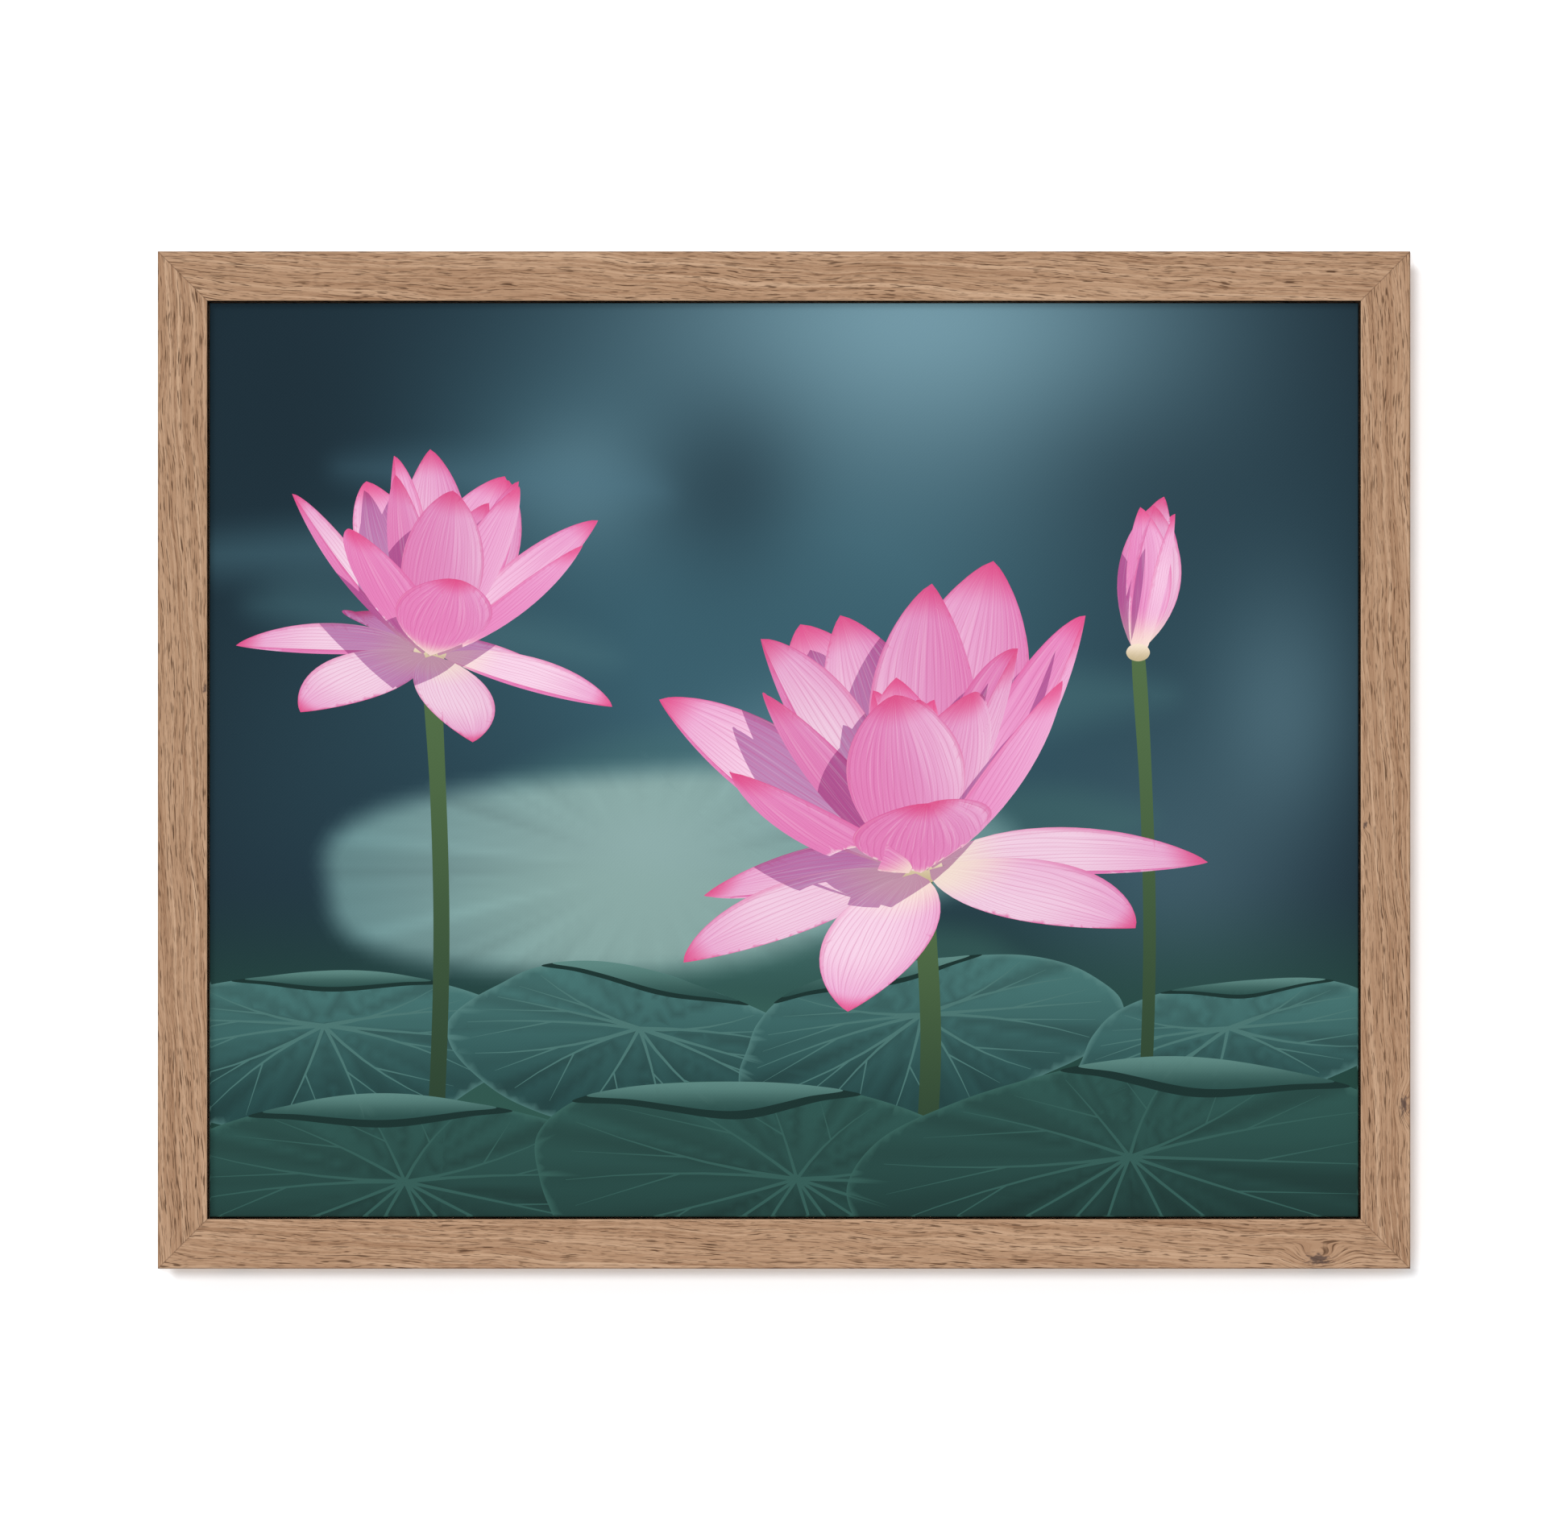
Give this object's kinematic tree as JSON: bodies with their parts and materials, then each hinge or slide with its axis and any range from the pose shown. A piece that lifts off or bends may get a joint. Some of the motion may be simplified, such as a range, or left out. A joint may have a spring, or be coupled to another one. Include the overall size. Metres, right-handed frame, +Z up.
{
  "type": "floating frame",
  "caption": "Solid oak tray frame that floats a stretched canvas print, with keyed stretcher bars, D-ring hangers and wall bumpers.",
  "frame": {"origin": "centre of the wall plane that the four bumpers touch", "axes": "+X to the viewer's right, +Z up, +Y from the picture's face into the wall"},
  "size_m": [0.544, 0.039, 0.442],
  "materials": {
    "oak": "matt oiled oak with open pores",
    "nail_steel": "bare spring steel",
    "printed_canvas": "matt primed cotton with a printed picture",
    "pine": "planed, unfinished",
    "beech": "sawn, unfinished",
    "staple_wire": "galvanised wire",
    "yellow_zinc": "yellow passivated zinc",
    "bright_zinc": "bright zinc plate",
    "nickel": "nickel plate",
    "rubber": "matt black"
  },
  "bodies": {
    "frame": {"oak_rail_top": "oak", "oak_rail_bottom": "oak", "oak_stile_left": "oak", "oak_stile_right": "oak", "mitre_v_nails": "nail_steel", "canvas_print": "printed_canvas", "stretcher_bar_top": "pine", "stretcher_bar_bottom": "pine", "stretcher_bar_left": "pine", "stretcher_bar_right": "pine", "canvas_staples": "staple_wire", "fixing_screws": "yellow_zinc", "fixing_washers": "bright_zinc", "hanger_strap_left": "bright_zinc", "hanger_strap_right": "bright_zinc", "hanger_screws": "yellow_zinc", "bumper_top_left": "rubber", "bumper_top_right": "rubber", "bumper_bottom_left": "rubber", "bumper_bottom_right": "rubber"},
    "d_ring_left": {"d_ring_left": "nickel"},
    "d_ring_right": {"d_ring_right": "nickel"},
    "key_top_left": {"key_top_left": "beech"},
    "key_top_right": {"key_top_right": "beech"},
    "key_bottom_left": {"key_bottom_left": "beech"},
    "key_bottom_right": {"key_bottom_right": "beech"},
    "key_left_top": {"key_left_top": "beech"},
    "key_left_bottom": {"key_left_bottom": "beech"},
    "key_right_top": {"key_right_top": "beech"},
    "key_right_bottom": {"key_right_bottom": "beech"}
  },
  "joints": [
    {"name": "d_ring_left_swing", "type": "hinge", "parent": "frame", "child": "d_ring_left", "pos_m": [-0.258, -0.00312, 0.111], "axis": [1, 0, 0], "range_deg": [0, 165]},
    {"name": "d_ring_right_swing", "type": "hinge", "parent": "frame", "child": "d_ring_right", "pos_m": [0.258, -0.00312, 0.111], "axis": [1, 0, 0], "range_deg": [0, 165]},
    {"name": "key_top_left_slide", "type": "slide", "parent": "frame", "child": "key_top_left", "axis": [0, 0, -1], "range_m": [0, 0.018]},
    {"name": "key_top_right_slide", "type": "slide", "parent": "frame", "child": "key_top_right", "axis": [0, 0, -1], "range_m": [0, 0.018]},
    {"name": "key_bottom_left_slide", "type": "slide", "parent": "frame", "child": "key_bottom_left", "axis": [0, 0, 1], "range_m": [0, 0.018]},
    {"name": "key_bottom_right_slide", "type": "slide", "parent": "frame", "child": "key_bottom_right", "axis": [0, 0, 1], "range_m": [0, 0.018]},
    {"name": "key_left_top_slide", "type": "slide", "parent": "frame", "child": "key_left_top", "axis": [1, 0, 0], "range_m": [0, 0.018]},
    {"name": "key_left_bottom_slide", "type": "slide", "parent": "frame", "child": "key_left_bottom", "axis": [1, 0, 0], "range_m": [0, 0.018]},
    {"name": "key_right_top_slide", "type": "slide", "parent": "frame", "child": "key_right_top", "axis": [-1, 0, 0], "range_m": [0, 0.018]},
    {"name": "key_right_bottom_slide", "type": "slide", "parent": "frame", "child": "key_right_bottom", "axis": [-1, 0, 0], "range_m": [0, 0.018]}
  ]
}
